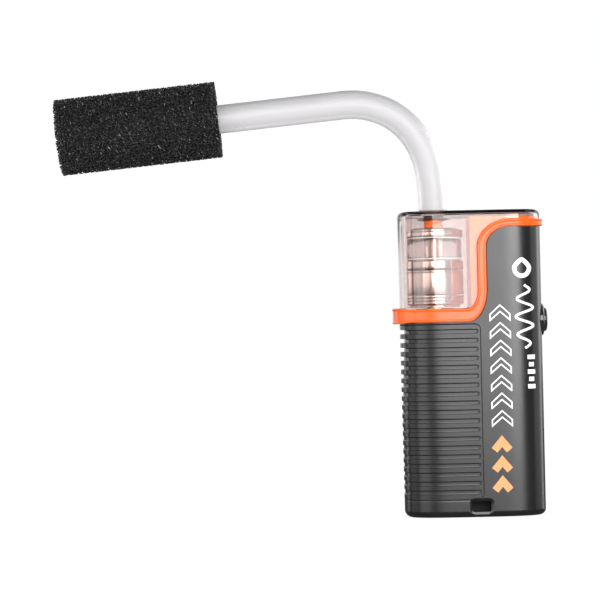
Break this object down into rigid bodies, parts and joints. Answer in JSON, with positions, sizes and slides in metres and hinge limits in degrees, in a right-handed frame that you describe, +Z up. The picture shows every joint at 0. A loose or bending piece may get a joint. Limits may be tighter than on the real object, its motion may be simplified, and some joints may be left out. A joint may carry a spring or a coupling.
{
  "type": "handheld fog machine",
  "caption": "Pocket fog machine: ribbed housing, clear lift-off tank cover over a steel atomizer, side button, bent hose with a foam diffuser.",
  "frame": {"origin": "middle of the flat base, on the plane where the two housing halves meet", "axes": "+Z up, -Y towards the front face, +X towards the push button; the hose leans towards -X"},
  "size_m": [0.195, 0.0304, 0.1754],
  "materials": {
    "housing_plastic": "satin",
    "band_orange": "satin",
    "deck_plastic": "satin",
    "screw_steel": "satin",
    "socket_brass": "satin",
    "socket_insulation": "matte",
    "atomizer_steel": "polished",
    "reservoir_clear": "clear",
    "gasket_silicone": "matte",
    "seal_orange": "satin",
    "cover_tint": "clear, lightly tinted",
    "spigot_plastic": "gloss",
    "hose_silicone": "translucent",
    "diffuser_foam": "open-cell foam",
    "button_plastic": "gloss",
    "cell_wrap": "shrink wrap",
    "cradle_plastic": "matte",
    "contact_nickel": "satin",
    "board_green": "solder mask",
    "socket_tin": "satin",
    "switch_plastic": "matte",
    "lead_red": "satin",
    "lead_black": "satin"
  },
  "bodies": {
    "housing": {"front_shell": "housing_plastic", "rear_shell": "housing_plastic", "case_screw_1": "screw_steel", "case_screw_2": "screw_steel", "case_screw_3": "screw_steel", "case_screw_4": "screw_steel", "seal_band": "band_orange", "tank_deck": "deck_plastic", "thread_socket": "socket_brass", "socket_insulator": "socket_insulation", "centre_pin": "socket_brass", "battery_cell": "cell_wrap", "battery_cradle": "cradle_plastic", "battery_contact_top": "contact_nickel", "battery_contact_bottom": "contact_nickel", "control_board": "board_green", "usb_socket": "socket_tin", "tact_switch": "switch_plastic", "positive_lead": "lead_red", "negative_lead": "lead_black", "button_bezel": "button_plastic"},
    "button": {"fire_button": "button_plastic"},
    "atomizer": {"atomizer_base": "atomizer_steel", "atomizer_sleeve": "atomizer_steel", "heater_head": "atomizer_steel", "atomizer_mid_ring": "atomizer_steel", "chimney": "atomizer_steel", "reservoir_glass": "reservoir_clear", "glass_seal_lower": "gasket_silicone", "glass_seal_upper": "gasket_silicone"},
    "fill_cap": {"atomizer_top_cap": "atomizer_steel", "outlet_seal": "seal_orange"},
    "cover": {"tank_cover": "cover_tint", "outlet_spigot": "spigot_plastic"},
    "hose": {"hose": "hose_silicone"},
    "diffuser": {"foam_diffuser": "diffuser_foam"}
  },
  "joints": [
    {"name": "fire_button_press", "type": "slide", "parent": "housing", "child": "button", "axis": [-1, 0, 0], "range_m": [0, 0.0008], "stiffness_N_per_m": 1500, "springref_m": -0.0004},
    {"name": "atomizer_turn", "type": "hinge", "parent": "housing", "child": "atomizer", "pos_m": [-0.0141, 0, 0.083], "axis": [0, 0, 1], "range_deg": [0, 360]},
    {"name": "fill_cap_turn", "type": "hinge", "parent": "atomizer", "child": "fill_cap", "pos_m": [-0.0141, 0, 0.1115], "axis": [0, 0, 1], "range_deg": [0, 360]},
    {"name": "cover_lift", "type": "slide", "parent": "housing", "child": "cover", "axis": [0, 0, 1], "range_m": [0, 0.045]},
    {"name": "hose_swivel", "type": "hinge", "parent": "cover", "child": "hose", "pos_m": [-0.0141, 0, 0.1218], "axis": [0, 0, 1], "continuous": true},
    {"name": "foam_pull", "type": "slide", "parent": "hose", "child": "diffuser", "axis": [-0.9957, 0, -0.0924], "range_m": [0, 0.035]}
  ]
}
